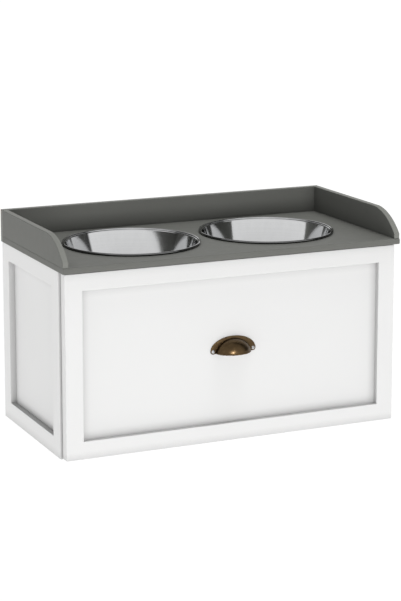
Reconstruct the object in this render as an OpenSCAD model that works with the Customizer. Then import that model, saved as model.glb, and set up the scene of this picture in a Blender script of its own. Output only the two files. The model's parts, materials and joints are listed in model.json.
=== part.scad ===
// Raised feeder with two lift-out bowls over one wide drawer on roller runners.
// Millimetres, Z up, front towards -Y, origin on the floor under the middle of the whole part.

/* [Top board] */
// Width over the top board
board_w = 600; // [560:1:640]
// Depth over the top board and the back rail behind it
board_d = 300; // [292:1:330]
// Thickness of the top board
board_t = 10; // [9:0.5:14]
// Radius of the eased front edges of the top board
board_ease = 3; // [1:0.5:4]

/* [Rails] */
// Thickness of the three rails round the top board
rail_t = 10; // [8:0.5:14]
// Height of the rails above the top board
rail_h = 45; // [40:1:60]
// Setback of a side rail's front end from the front edge of the board
rail_set = 2; // [0.5:0.5:6]
// Length of the curved nose of a side rail
nose_len = 69; // [50:1:90]
// Drop of the nose from the rail's top edge
nose_drop = 37; // [20:1:38]
// Bow of the nose curve off its chord
nose_bow = 8; // [2:0.5:11]
// Length of the screws that hold the rails
rail_screw_len = 32; // [26:1:38]
// Distance of the end screws from the ends of a rail
rail_screw_inset = 22; // [15:1:30]
// Distance of the back rail's middle screws from the middle of the board
back_screw_x = 60; // [40:1:120]

/* [Bowls] */
// Space from a bowl's rim to the front edge of the board
bowl_margin = 35; // [33:0.5:45]
// Space between the rims of the two bowls
bowl_gap = 18; // [12:1:32]
// Radius of the rolled rim's bead
bead_r = 2; // [1.5:0.1:3]
// Sheet thickness of a bowl
bowl_wall = 0.8; // [0.6:0.1:1.5]
// Depth of a bowl below the top of the board
bowl_depth = 58; // [45:1:75]
// Narrowing of a bowl's wall from its rim down to its floor
bowl_taper = 11; // [7:1:31]
// Inside radius between the wall and the floor of a bowl
bowl_corner_r = 20; // [10:1:24]
// Clearance between a bowl's wall and its hole
bowl_fit = 0.8; // [0.4:0.1:1.5]
// Gap between the rim bead and the board
bowl_seat = 0.3; // [0.2:0.05:0.5]

/* [Cabinet] */
// Height of the cabinet under the top board
case_h = 305; // [285:1:340]
// Overhang of the top board past each cabinet side
side_set = 2; // [0:0.5:6]
// Thickness of the boards behind the frame strips
backing_t = 8; // [8:0.5:10]
// Thickness of the frame strips
strip_t = 10; // [8:0.5:12]
// Radius of the eased long edges of the frame strips
strip_ease = 1.2; // [0.5:0.1:3]
// Width of the upright strips of a side
side_stile_w = 31; // [24:0.5:40]
// Width of the top strip of a side
side_top_w = 28.5; // [22:0.5:40]
// Width of the foot strip of a side
side_foot_w = 31; // [24:0.5:40]
// Thickness of the cabinet floor
floor_t = 12; // [11:0.5:14]
// Height of the cabinet floor above the ground
floor_lift = 8; // [4:0.5:9]
// Setback of the cabinet floor from the sides' front edges
floor_set = 3; // [1:0.5:8]
// Thickness of the two stretchers under the top board
stretcher_t = 10; // [9:0.5:10]
// Height of the two stretchers
stretcher_h = 40; // [36:1:50]
// Thickness of the back panel
back_t = 3; // [2.5:0.5:5]
// Width of the rebate that takes the back panel in each side
rebate_w = 6; // [4:0.5:6.5]
// Depth of the back panel's face inside the back edges
back_set = 1.5; // [1:0.5:4]

/* [Drawer front] */
// Setback of the drawer front's ends from the top board's ends
front_end_set = 5.5; // [4:0.5:15]
// Setback of the drawer front from the board's front edge
front_set = 8.5; // [4:0.5:12]
// Gap between the drawer front and the sides' front edges
front_gap = 2.2; // [1.8:0.1:4]
// Gap under the drawer front
front_foot_gap = 1.5; // [1:0.5:6]
// Gap between the drawer front and the top board
front_head_gap = 2; // [1:0.5:5]
// Width of the upright strips of the drawer front
front_stile_w = 29.5; // [24:0.5:40]
// Width of the top strip of the drawer front
front_top_w = 28; // [22:0.5:40]
// Width of the foot strip of the drawer front
front_foot_w = 29; // [22:0.5:40]
// Thickness of the rubber bumpers behind the drawer front
bumper_t = 2; // [1.2:0.1:2]
// Radius of the rubber bumpers
bumper_r = 4; // [3:0.5:5]

/* [Drawer box] */
// Height of the drawer box
box_h = 180; // [150:1:190]
// Space between the drawer box and the back panel
box_back_gap = 7; // [5:1:13]
// Thickness of the drawer box boards
box_t = 12; // [12:0.5:15]
// Height of the drawer box's lower edge above the ground
box_z = 32; // [30:0.5:36]
// Thickness of the drawer base
base_t = 3; // [2.5:0.5:5]
// Height of the drawer base above the lower edge of the box
base_up = 10; // [8:1:20]
// Depth of the grooves that hold the drawer base
groove_d = 6; // [4:0.5:7]
// Clearance of the drawer base in its grooves
groove_fit = 0.1; // [0.05:0.05:0.3]

/* [Runners] */
// Space between the runners and the back panel
runner_back_gap = 19.7; // [17.7:1:69.7]
// Space between the drawer box and a cabinet side
runner_gap = 12.5; // [12.3:0.1:14]
// Sheet thickness of the runners
sheet_t = 1.2; // [1:0.1:1.5]
// Clear height inside a channel
channel_in = 21; // [20:0.5:24]
// Depth of a channel's lower track under the drawer box
channel_drop = 2; // [1.8:0.1:3]
// Width of the flange that rides on the front roller
track_w = 8; // [6:0.5:8.5]
// Width of a roller
roller_w = 7.5; // [6:0.5:7.8]
// Running gap of a roller on its track
roll_gap = 0.3; // [0.2:0.05:0.4]
// Radius of a roller pin
pin_r = 2.5; // [2:0.1:3]
// Radial clearance of a roller on its pin
pin_fit = 0.05; // [0.02:0.01:0.08]
// Radius of a roller's hub
hub_r = 4.2; // [3.8:0.1:5]
// Thickness of a roller pin's head
pin_head_t = 0.9; // [0.6:0.1:1.1]
// Distance of the end screws from the ends of a runner
runner_screw_inset = 25; // [20:1:40]

/* [Cup pull] */
// Width over the flange of the cup pull
pull_w = 81; // [72:0.5:95]
// Height of the flange of the cup pull above the mouth
pull_h = 27.5; // [26:0.5:34]
// Width of the cup
cup_w = 60; // [50:0.5:62]
// Height and reach of the cup
cup_r = 23.5; // [20:0.5:24]
// Wall of the cup
cup_wall = 1.4; // [1:0.1:2]
// Height of the turned lip round the mouth
lip_h = 2.2; // [1.5:0.1:3]
// Thickness that the lip stands out from the cup
lip_out = 0.7; // [0.3:0.1:1.2]
// Thickness of the flange
flange_t = 1.5; // [1:0.1:2.5]
// Radius of the two ears
ear_r = 4.7; // [4:0.1:5.5]
// Drop of the ears' screw line under the middle of the drawer front
pull_drop = 1.3; // [0:0.1:20]

/* [Fasteners] */
// Shank radius of the wood screws
screw_r = 1.6; // [1.3:0.1:1.9]
// Head radius of the wood screws
screw_head_r = 3; // [2.6:0.1:3.4]
// Height of a pan head
pan_h = 1.6; // [1:0.1:2]
// Radial clearance of screws, bolts and dowels in their holes
bolt_fit = 0.05; // [0.02:0.01:0.1]
// Length of a screw in a board and a panel's thin wall
short_screw = 6.5; // [5:0.5:7]
// Length of the drawer box's corner screws
box_screw_len = 32; // [25:1:40]
// Distance of the end screws from the ends of a box corner
box_screw_inset = 22; // [15:1:35]
// Distance of the screws behind the drawer front from the sides of the box
front_screw_inset = 66; // [40:1:90]
// Distance of the screws behind the drawer front from the edges of the box
front_screw_rise = 38; // [25:1:55]
// Thickness of board left over the point of a screw or nail
tip_cover = 2.4; // [1.5:0.1:3]
// Radius of a cam lock
cam_r = 7.5; // [6:0.5:8]
// Distance from a panel's end to the middle of a cam lock
cam_reach = 24; // [20:1:34]
// Distance of the floor's cam locks from its front and back edges
cam_inset = 35; // [30:1:45]
// Distance of the floor's dowels from its front and back edges
dowel_inset = 60; // [52:1:80]
// Shank radius of a cam bolt
cam_bolt_r = 2.2; // [1.8:0.1:2.6]
// Radius of the dowels
dowel_r = 3; // [2:0.1:3.5]
// Length of a dowel inside a panel's end
dowel_in = 20; // [14:1:25]
// Depth of the bolts and dowels in a cabinet side
side_bite = 7; // [5:0.5:7.5]
// Leg of an angle bracket
bracket_leg = 18; // [14:1:22]
// Width of an angle bracket
bracket_w = 16; // [12:1:20]
// Thickness of an angle bracket
bracket_t = 1.5; // [1:0.1:2]
// Distance of a bracket's screws from its corner
bracket_hole = 11; // [8:0.5:14]
// Distance of the brackets from the stretchers
bracket_inset = 60; // [45:1:80]
// Radius of a panel nail
nail_r = 0.8; // [0.6:0.1:1]
// Head radius of a panel nail
nail_head_r = 2; // [1.5:0.1:2.5]
// Length of a panel nail
nail_len = 14; // [12:1:18]
// Number of nails along an edge of the back panel
nail_n = 5; // [3:1:9]
// Number of nails up a side of the back panel
side_nail_n = 3; // [2:1:5]

/* [Hidden] */
$fn = 64;

grey_paint = "#797876";
white_paint = "#efefef";
raw_board = "#d9cfbd";
steel = "#c9cbcc";
bronze = "#4a3c28";
nylon = "#f2f2ee";
rubber = "#d8d8d4";

cut = 1;
curve_steps = 24;
bowl_steps = 128;
tip_r = 0.4;
recess_w = 0.7;

// Cabinet outline
side_t = backing_t + strip_t;
side_x = board_w / 2 - side_set;
side_in = side_x - side_t;
side_core = side_x - strip_t;
back_y = board_d / 2;
front_face = -board_d / 2 + front_set;
panel_face = front_face + strip_t;
front_in = panel_face + backing_t;
side_front = front_in + front_gap;
back_face = back_y - back_set;
panel_in = back_face - back_t;
floor_mid = floor_lift + floor_t / 2;
front_w = board_w - 2 * front_end_set;
front_z0 = front_foot_gap;
front_z1 = case_h - front_head_gap;

// Top
board_top = case_h + board_t;
board_back = back_y - rail_t;
rail_front = -board_d / 2 + rail_set;
nose_start = rail_front + nose_len;
rail_mid_x = board_w / 2 - rail_t / 2;
bowl_r = board_d / 2 - bowl_margin;
bowl_pitch = 2 * bowl_r + bowl_gap;
bowl_in_r = bowl_r - 2 * bead_r;
bowl_floor_r = bowl_in_r - bowl_corner_r - bowl_taper;
hole_r = bowl_in_r + bowl_wall + bowl_fit;

// Pull
reach = max(0, cup_r + lip_out - strip_t - front_set);
mid_shift = reach / 2;
ear_x = pull_w / 2 - ear_r;
ear_up = ear_r - lip_out;
pull_z = (front_z0 + front_z1) / 2 - pull_drop - ear_up;

// Drawer box and runners
box_x = side_in - runner_gap;
box_back_y = panel_in - box_back_gap;
base_z = box_z + base_up;
channel_z = box_z - channel_drop;
channel_mid = channel_z + channel_in / 2;
channel_set = 2;
channel_front = side_front + channel_set;
channel_end = panel_in - runner_back_gap;
end_clear = 2;
track_end = channel_end - end_clear;
edge_clear = 0.6;
wheel_side = 0.5;
flange_reach = runner_gap - sheet_t - edge_clear;
track_clear = 1;
track_top = channel_z + channel_in - track_clear;
track_under = track_top - sheet_t;
front_roll_r = (track_under - roll_gap - channel_z - roll_gap) / 2;
front_roll_z = channel_z + roll_gap + front_roll_r;
front_roll_y = channel_front + front_roll_r + track_clear;
rear_roll_r = (channel_in - 2 * roll_gap) / 2;
stop_gap = 1.5;
rear_roll_y = track_end - end_clear - rear_roll_r;
roll_ease = 0.8;
roll_dish = 1.2;
tyre_t = 2;
hub_rim = 0.5;
pin_end = 0.2;
pin_len = sheet_t + wheel_side + roller_w + pin_end;
pin_head_r = hub_r - hub_rim;
box_screw_low = track_top + box_screw_inset;
box_screw_high = box_z + box_h - box_screw_inset;
box_screw_zs = [box_screw_low, (box_screw_low + box_screw_high) / 2, box_screw_high];

// Rows of fasteners
stretcher_mid = case_h - stretcher_h / 2;
front_stretcher_y = side_front + stretcher_t / 2;
back_stretcher_y = panel_in - stretcher_t / 2;
floor_front = side_front + floor_set;
floor_cam_y = [floor_front + cam_inset, panel_in - cam_inset];
floor_dowel_y = [floor_front + dowel_inset, panel_in - dowel_inset];
cam_rise = 9;
cam_edge = 2;
cam_slot = 1.2;
cam_play = 0.3;
cam_collar = 0.7;
cam_cover = 0.8;
cam_head_t = 3;
cam_head_r = cam_bolt_r + cam_collar;
cam_under = cam_head_r + cam_cover;
// Each spot is its y, its z, the way the open face looks, and the panel's thickness
floor_cams = [for (y = floor_cam_y) [y, floor_mid, 180, floor_t]];
floor_dowels = [for (y = floor_dowel_y) [y, floor_mid, 180, floor_t]];
front_cams = [[front_stretcher_y, stretcher_mid - cam_rise, -90, stretcher_t]];
front_dowels = [[front_stretcher_y, stretcher_mid + cam_rise, -90, stretcher_t]];
back_cams = [[back_stretcher_y, stretcher_mid - cam_rise, 90, stretcher_t]];
back_dowels = [[back_stretcher_y, stretcher_mid + cam_rise, 90, stretcher_t]];
all_cams = concat(floor_cams, front_cams, back_cams);
all_dowels = concat(floor_dowels, front_dowels, back_dowels);
bracket_ys = [front_stretcher_y + bracket_inset, back_stretcher_y - bracket_inset];
rail_screw_ys = [
  nose_start + rail_screw_inset,
  (nose_start + board_back) / 2,
  board_back - rail_screw_inset
];
back_screw_xs = [for (s = [-1, 1], x = [back_screw_x, board_w / 2 - rail_screw_inset]) s * x];
nail_xs = [for (i = [1 : nail_n]) side_in * (2 * i / (nail_n + 1) - 1)];
side_nail_zs = [for (i = [1 : side_nail_n]) case_h * i / (side_nail_n + 1)];
channel_screw_ys = [
  front_roll_y + runner_screw_inset,
  (front_roll_y + channel_end) / 2,
  channel_end - runner_screw_inset
];
track_screw_ys = [front_in + runner_screw_inset, (front_in + track_end) / 2, track_end - runner_screw_inset];
track_screw_len = sheet_t + base_up - screw_r;
front_screw_xs = [front_screw_inset - box_x, box_x - front_screw_inset];
front_screw_zs = [box_z + front_screw_rise, box_z + box_h - front_screw_rise];
front_screw_len = box_t + backing_t - tip_cover;
stretcher_nail = back_t + stretcher_t - tip_cover;
rebate_fit = 0.3;

// Points along an arc that bows off the chord from a to b
function bow_arc(a, b, bow, n) =
  let (
    c = norm(b - a),
    d = (b - a) / c,
    out = [d.y, -d.x],
    r = c * c / (8 * bow) + bow / 2,
    mid = (a + b) / 2 - out * (r - bow),
    half = asin(c / 2 / r)
  )
  [for (i = [0 : n]) let (t = -half + 2 * half * i / n) mid + r * (out * cos(t) + d * sin(t))];

// Points round an ellipse from angle t0 to t1
function oval(a, b, t0, t1, n) =
  [for (i = [0 : n]) let (t = t0 + (t1 - t0) * i / n) [a * cos(t), b * sin(t)]];

function reversed(list) = [for (i = [len(list) - 1 : -1 : 0]) list[i]];

// Everything stands centred over the origin
module placed() {
  translate([0, mid_shift, 0]) children();
}

module slab(lo, hi) {
  translate(lo) cube(hi - lo);
}

module both_sides() {
  for (s = [0, 1]) mirror([s, 0, 0]) children();
}

module flipped(yes) {
  if (yes) mirror([1, 0, 0]) children();
  else children();
}

// A countersunk screw, flush at z = 0, that runs towards +z
module flush_screw(length, r = screw_r, head_r = screw_head_r) {
  cylinder(r1 = head_r, r2 = r, h = head_r - r);
  cylinder(r = r, h = length - 2 * r);
  translate([0, 0, length - 2 * r]) cylinder(r1 = r, r2 = tip_r, h = 2 * r);
}

module flush_hole(length, r = screw_r, head_r = screw_head_r) {
  translate([0, 0, -cut]) cylinder(r = head_r + bolt_fit, h = cut);
  cylinder(r1 = head_r + bolt_fit, r2 = r + bolt_fit, h = head_r - r);
  cylinder(r = r + bolt_fit, h = length + bolt_fit);
}

// A pan-head screw whose head stands on z = 0
module pan_screw(length, r = screw_r, head_r = screw_head_r) {
  crown = (head_r * head_r + pan_h * pan_h) / (2 * pan_h);
  intersection() {
    translate([0, 0, crown - pan_h]) sphere(r = crown);
    translate([0, 0, -pan_h]) cylinder(r = head_r, h = pan_h);
  }
  cylinder(r = r, h = length - 2 * r);
  translate([0, 0, length - 2 * r]) cylinder(r1 = r, r2 = tip_r, h = 2 * r);
}

module pan_hole(length, r = screw_r) {
  translate([0, 0, -cut]) cylinder(r = r + bolt_fit, h = length + cut + bolt_fit);
}

// Board and rails

module at_rail_screws() {
  both_sides() for (y = rail_screw_ys) translate([rail_mid_x, y, case_h]) children();
}

module at_back_screws() {
  for (x = back_screw_xs) translate([x, back_y, case_h + board_t / 2]) rotate([90, 0, 0]) children();
}

module at_bowls() {
  for (s = [-1, 1]) translate([s * bowl_pitch / 2, 0, 0]) children();
}

module board_section() {
  translate([-board_back, 0]) square([board_back + board_d / 2 - board_ease, board_t]);
  translate([0, board_ease]) square([board_d / 2, board_t - 2 * board_ease]);
  for (z = [board_ease, board_t - board_ease]) translate([board_d / 2 - board_ease, z]) circle(board_ease);
}

module top_board() {
  color(grey_paint) placed() difference() {
    translate([board_w / 2, 0, case_h]) rotate([90, 0, -90]) linear_extrude(board_w) board_section();
    at_bowls() translate([0, 0, case_h - cut]) cylinder(r = hole_r, h = board_t + 2 * cut, $fn = bowl_steps);
    at_rail_screws() flush_hole(rail_screw_len);
    at_back_screws() flush_hole(rail_screw_len);
    at_top_bracket_screws() pan_hole(short_screw);
  }
}

module back_rail() {
  color(grey_paint) placed() difference() {
    slab([-board_w / 2, board_back, case_h], [board_w / 2, back_y, board_top + rail_h]);
    at_back_screws() flush_hole(rail_screw_len);
  }
}

module side_rail_outline() {
  top = board_top + rail_h;
  polygon(concat(
    [[board_back, board_top], [board_back, top]],
    bow_arc([nose_start, top], [rail_front, top - nose_drop], nose_bow, curve_steps),
    [[rail_front, board_top]]
  ));
}

module right_rail_piece() {
  difference() {
    translate([board_w / 2 - rail_t, 0, 0]) rotate([90, 0, 90]) linear_extrude(rail_t) side_rail_outline();
    at_rail_screws() flush_hole(rail_screw_len);
  }
}

module right_rail() {
  color(grey_paint) placed() right_rail_piece();
}

module left_rail() {
  color(grey_paint) placed() mirror([1, 0, 0]) right_rail_piece();
}

module rail_screws() {
  color(steel) placed() at_rail_screws() flush_screw(rail_screw_len);
}

module back_rail_screws() {
  color(steel) placed() at_back_screws() flush_screw(rail_screw_len);
}

// Joints between the cabinet's panels
// In the local frame of a spot, +x runs into the panel and +z looks out of its open face

module at_spots(spots) {
  both_sides() for (p = spots) translate([-side_in, p[0], p[1]]) rotate([p[2], 0, 0]) {
    let ($panel_t = p[3]) children();
  }
}

module cam_lock() {
  high = $panel_t / 2 + cam_under;
  wide = 2 * (cam_r - cam_edge);
  translate([cam_reach, 0, -cam_under]) difference() {
    cylinder(r = cam_r, h = high);
    translate([0, 0, high]) cube([wide, cam_slot, 2 * cam_slot], center = true);
    translate([0, 0, high]) cube([cam_slot, wide, 2 * cam_slot], center = true);
    translate([-wide / 2, 0, cam_under]) rotate([0, 90, 0]) cylinder(r = cam_head_r + cam_play, h = wide);
    translate([-cam_r - cut, 0, cam_under]) rotate([0, 90, 0]) cylinder(r = cam_bolt_r + cam_play, h = cam_r);
  }
}

module cam_pocket() {
  translate([cam_reach, 0, -cam_under - bolt_fit]) cylinder(r = cam_r + bolt_fit, h = $panel_t + cut);
  translate([-cut, 0, 0]) rotate([0, 90, 0]) cylinder(r = cam_head_r + bolt_fit, h = cam_reach + cut);
}

module cam_bolt() {
  neck = cam_reach - cam_r;
  rotate([0, 90, 0]) {
    translate([0, 0, -side_bite]) cylinder(r = cam_bolt_r, h = side_bite + cam_reach);
    cylinder(r = cam_head_r, h = neck - cam_edge);
    translate([0, 0, cam_reach]) cylinder(r = cam_head_r, h = cam_head_t);
  }
}

module cam_bolt_hole() {
  translate([-side_bite - bolt_fit, 0, 0]) rotate([0, 90, 0])
    cylinder(r = cam_bolt_r + bolt_fit, h = side_bite + cut);
}

module dowel() {
  translate([-side_bite, 0, 0]) rotate([0, 90, 0]) cylinder(r = dowel_r, h = side_bite + dowel_in);
}

module dowel_hole() {
  translate([-side_bite - bolt_fit, 0, 0]) rotate([0, 90, 0])
    cylinder(r = dowel_r + bolt_fit, h = side_bite + dowel_in + 2 * bolt_fit);
}

module cam_locks() {
  color(steel) placed() at_spots(all_cams) cam_lock();
}

module cam_bolts() {
  color(steel) placed() at_spots(all_cams) cam_bolt();
}

module dowels() {
  color(raw_board) placed() at_spots(all_dowels) dowel();
}

// Angle brackets under the top board

module at_brackets() {
  both_sides() for (y = bracket_ys) translate([side_in, y, case_h]) children();
}

module at_top_bracket_screws() {
  at_brackets() translate([-bracket_hole, 0, -bracket_t]) children();
}

module at_side_bracket_screws() {
  at_brackets() translate([-bracket_t, 0, -bracket_hole]) rotate([0, 90, 0]) children();
}

module top_brackets() {
  color(steel) placed() difference() {
    at_brackets() rotate([90, 0, 0]) translate([0, 0, -bracket_w / 2]) linear_extrude(bracket_w) polygon([
      [0, 0], [-bracket_leg, 0], [-bracket_leg, -bracket_t], [-bracket_t, -bracket_t],
      [-bracket_t, -bracket_leg], [0, -bracket_leg]
    ]);
    at_top_bracket_screws() pan_hole(short_screw);
    at_side_bracket_screws() pan_hole(short_screw);
  }
}

module bracket_screws() {
  color(steel) placed() {
    at_top_bracket_screws() pan_screw(short_screw);
    at_side_bracket_screws() pan_screw(short_screw);
  }
}

// Framed faces: u runs along the face, v up, and the strips stand out of it

module on_front() {
  translate([0, panel_face, 0]) rotate([90, 0, 0]) children();
}

module on_right_side() {
  translate([side_core, 0, 0]) rotate([90, 0, 90]) children();
}

module strip_section(w) {
  square([w, strip_t - strip_ease]);
  translate([strip_ease, 0]) square([w - 2 * strip_ease, strip_t]);
  for (u = [strip_ease, w - strip_ease]) translate([u, strip_t - strip_ease]) circle(strip_ease);
}

module stile(u0, u1, v0, v1) {
  translate([u0, v1, 0]) rotate([90, 0, 0]) linear_extrude(v1 - v0) strip_section(u1 - u0);
}

module cross_strip(u0, u1, v0, v1) {
  translate([u0, v0, 0]) rotate([90, 0, 90]) linear_extrude(u1 - u0) strip_section(v1 - v0);
}

// Cabinet

module right_panel_piece() {
  difference() {
    slab([side_in, side_front, 0], [side_core, back_y, case_h]);
    slab([side_in - cut, panel_in, floor_lift], [side_in + rebate_w, back_y + cut, case_h + cut]);
    at_spots(all_cams) cam_bolt_hole();
    at_spots(all_dowels) dowel_hole();
    at_side_bracket_screws() pan_hole(short_screw);
    at_channel_screws() flush_hole(short_screw);
    at_side_nails() pan_hole(nail_len, nail_r);
  }
}

module right_side_panel() {
  color(white_paint) placed() right_panel_piece();
}

module left_side_panel() {
  color(white_paint) placed() mirror([1, 0, 0]) right_panel_piece();
}

module side_strip(which) {
  front = side_front + side_stile_w;
  back = back_y - side_stile_w;
  on_right_side() {
    if (which == "front") stile(side_front, front, 0, case_h);
    if (which == "back") stile(back, back_y, 0, case_h);
    if (which == "top") cross_strip(front, back, case_h - side_top_w, case_h);
    if (which == "foot") cross_strip(front, back, 0, side_foot_w);
  }
}

module right_front_stile() {
  color(white_paint) placed() side_strip("front");
}

module right_back_stile() {
  color(white_paint) placed() side_strip("back");
}

module right_top_strip() {
  color(white_paint) placed() side_strip("top");
}

module right_foot_strip() {
  color(white_paint) placed() side_strip("foot");
}

module left_front_stile() {
  color(white_paint) placed() mirror([1, 0, 0]) side_strip("front");
}

module left_back_stile() {
  color(white_paint) placed() mirror([1, 0, 0]) side_strip("back");
}

module left_top_strip() {
  color(white_paint) placed() mirror([1, 0, 0]) side_strip("top");
}

module left_foot_strip() {
  color(white_paint) placed() mirror([1, 0, 0]) side_strip("foot");
}

module cabinet_floor() {
  color(white_paint) placed() difference() {
    slab([-side_in, floor_front, floor_lift], [side_in, panel_in, floor_lift + floor_t]);
    at_spots(floor_cams) cam_pocket();
    at_spots(floor_dowels) dowel_hole();
    at_back_nails() pan_hole(nail_len, nail_r);
  }
}

module front_stretcher() {
  color(white_paint) placed() difference() {
    slab([-side_in, side_front, case_h - stretcher_h], [side_in, side_front + stretcher_t, case_h]);
    at_spots(front_cams) cam_pocket();
    at_spots(front_dowels) dowel_hole();
  }
}

module back_stretcher() {
  color(white_paint) placed() difference() {
    slab([-side_in, panel_in - stretcher_t, case_h - stretcher_h], [side_in, panel_in, case_h]);
    at_spots(back_cams) cam_pocket();
    at_spots(back_dowels) dowel_hole();
    at_stretcher_nails() pan_hole(stretcher_nail, nail_r);
  }
}

module back_panel() {
  edge = side_in + rebate_w - rebate_fit;
  color(white_paint) placed() difference() {
    slab([-edge, panel_in, floor_lift], [edge, back_face, case_h]);
    at_back_nails() pan_hole(nail_len, nail_r);
    at_stretcher_nails() pan_hole(stretcher_nail, nail_r);
    at_side_nails() pan_hole(nail_len, nail_r);
  }
}

module at_back_nails() {
  for (x = nail_xs) translate([x, back_face, floor_mid]) rotate([90, 0, 0]) children();
}

module at_stretcher_nails() {
  for (x = nail_xs) translate([x, back_face, stretcher_mid]) rotate([90, 0, 0]) children();
}

module at_side_nails() {
  both_sides() for (z = side_nail_zs)
    translate([side_in + rebate_w / 2, back_face, z]) rotate([90, 0, 0]) children();
}

module nail(length) {
  translate([0, 0, -nail_r]) cylinder(r = nail_head_r, h = nail_r);
  cylinder(r = nail_r, h = length);
}

module back_nails() {
  color(steel) placed() {
    at_back_nails() nail(nail_len);
    at_stretcher_nails() nail(stretcher_nail);
    at_side_nails() nail(nail_len);
  }
}

module bumpers() {
  color(rubber) placed() both_sides() for (z = [side_foot_w, case_h - side_top_w])
    translate([side_in + side_t / 2, side_front, z]) rotate([90, 0, 0]) cylinder(r = bumper_r, h = bumper_t);
}

// Runners: the channel stays in the cabinet and the track rides out with the drawer

module at_channel_screws() {
  both_sides() for (y = channel_screw_ys)
    translate([side_in - sheet_t, y, channel_mid]) rotate([0, 90, 0]) children();
}

module at_front_pins() {
  both_sides() translate([side_in, front_roll_y, front_roll_z]) rotate([0, -90, 0]) children();
}

module at_rear_pins() {
  both_sides() translate([box_x, rear_roll_y, channel_mid]) rotate([0, 90, 0]) children();
}

module at_track_screws() {
  both_sides() for (y = track_screw_ys) translate([box_x - box_t / 2, y, box_z - sheet_t]) children();
}

module pin_cut() {
  translate([0, 0, -cut]) cylinder(r = pin_r + pin_fit, h = 2 * sheet_t + cut);
}

module channel_piece() {
  low = channel_z - sheet_t;
  high = channel_z + channel_in + sheet_t;
  web = side_in - sheet_t;
  lip = side_in - flange_reach;
  difference() {
    translate([0, channel_end, 0]) rotate([90, 0, 0]) linear_extrude(channel_end - channel_front) polygon([
      [side_in, low], [side_in, high], [lip, high], [lip, high - sheet_t],
      [web, high - sheet_t], [web, low + sheet_t], [lip, low + sheet_t], [lip, low]
    ]);
    at_channel_screws() flush_hole(short_screw);
    at_front_pins() pin_cut();
  }
}

module right_channel() {
  color(steel) placed() channel_piece();
}

module left_channel() {
  color(steel) placed() mirror([1, 0, 0]) channel_piece();
}

module track_piece() {
  low = box_z - sheet_t;
  web = box_x + sheet_t;
  flange_end = rear_roll_y - rear_roll_r - stop_gap;
  difference() {
    union() {
      translate([0, track_end, 0]) rotate([90, 0, 0]) linear_extrude(track_end - front_in) polygon([
        [box_x - box_t, low], [web, low], [web, track_top], [box_x, track_top],
        [box_x, box_z], [box_x - box_t, box_z]
      ]);
      slab([box_x, front_in, track_under], [web + track_w, flange_end, track_top]);
    }
    at_track_screws() pan_hole(track_screw_len);
    at_rear_pins() pin_cut();
  }
}

module right_track() {
  color(steel) placed() track_piece();
}

module left_track() {
  color(steel) placed() mirror([1, 0, 0]) track_piece();
}

module channel_screws() {
  color(steel) placed() at_channel_screws() flush_screw(short_screw);
}

module track_screws() {
  color(steel) placed() at_track_screws() pan_screw(track_screw_len);
}

module roller_pin() {
  cylinder(r = pin_r, h = pin_len);
  translate([0, 0, pin_len]) cylinder(r = pin_head_r, h = pin_head_t);
}

module front_roller_pins() {
  color(steel) placed() at_front_pins() roller_pin();
}

module rear_roller_pins() {
  color(steel) placed() at_rear_pins() roller_pin();
}

// A nylon wheel with a hub, standing on its pin
module roller(r) {
  flat = roller_w - roll_dish;
  translate([0, 0, sheet_t + wheel_side]) rotate_extrude() polygon([
    [pin_r + pin_fit, 0], [r - roll_ease, 0], [r, roll_ease], [r, roller_w - roll_ease],
    [r - roll_ease, roller_w], [r - tyre_t, roller_w], [r - tyre_t, flat], [hub_r, flat], [hub_r, roller_w],
    [pin_r + pin_fit, roller_w]
  ]);
}

module front_roller(left) {
  flipped(left) translate([side_in, front_roll_y, front_roll_z]) rotate([0, -90, 0]) roller(front_roll_r);
}

module rear_roller(left) {
  flipped(left) translate([box_x, rear_roll_y, channel_mid]) rotate([0, 90, 0]) roller(rear_roll_r);
}

module front_left_roller() {
  color(nylon) placed() front_roller(true);
}

module front_right_roller() {
  color(nylon) placed() front_roller(false);
}

module rear_left_roller() {
  color(nylon) placed() rear_roller(true);
}

module rear_right_roller() {
  color(nylon) placed() rear_roller(false);
}

// Drawer front

module at_pull_screws() {
  for (s = [-1, 1])
    translate([s * ear_x, panel_face - flange_t, pull_z + ear_up]) rotate([-90, 0, 0]) children();
}

module at_front_screws() {
  for (x = front_screw_xs, z = front_screw_zs)
    translate([x, front_in + box_t, z]) rotate([90, 0, 0]) children();
}

module drawer_panel() {
  color(white_paint) placed() difference() {
    slab([-front_w / 2, panel_face, front_z0], [front_w / 2, front_in, front_z1]);
    at_pull_screws() pan_hole(short_screw);
    at_front_screws() pan_hole(front_screw_len);
  }
}

module drawer_left_stile() {
  edge = -front_w / 2;
  color(white_paint) placed() on_front() stile(edge, edge + front_stile_w, front_z0, front_z1);
}

module drawer_right_stile() {
  edge = front_w / 2;
  color(white_paint) placed() on_front() stile(edge - front_stile_w, edge, front_z0, front_z1);
}

module drawer_top_strip() {
  half = front_w / 2 - front_stile_w;
  color(white_paint) placed() on_front() cross_strip(-half, half, front_z1 - front_top_w, front_z1);
}

module drawer_foot_strip() {
  half = front_w / 2 - front_stile_w;
  color(white_paint) placed() on_front() cross_strip(-half, half, front_z0, front_z0 + front_foot_w);
}

// Cup pull: a quarter of a round-ended shell that opens down and towards the panel

module cup_shell() {
  a = cup_w / 2;
  outside = oval(a, cup_r, 0, 180, curve_steps);
  inside = oval(a - cup_wall, cup_r - cup_wall, 0, 180, curve_steps);
  rotate([90, 0, -90]) rotate_extrude(angle = 90)
    polygon([for (p = concat(outside, reversed(inside))) [max(0, p.y), p.x]]);
}

module cup_lip() {
  a = cup_w / 2;
  linear_extrude(lip_h) polygon(concat(
    oval(a + lip_out, cup_r + lip_out, 180, 360, curve_steps),
    reversed(oval(a - cup_wall, cup_r - cup_wall, 180, 360, curve_steps))
  ));
}

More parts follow.
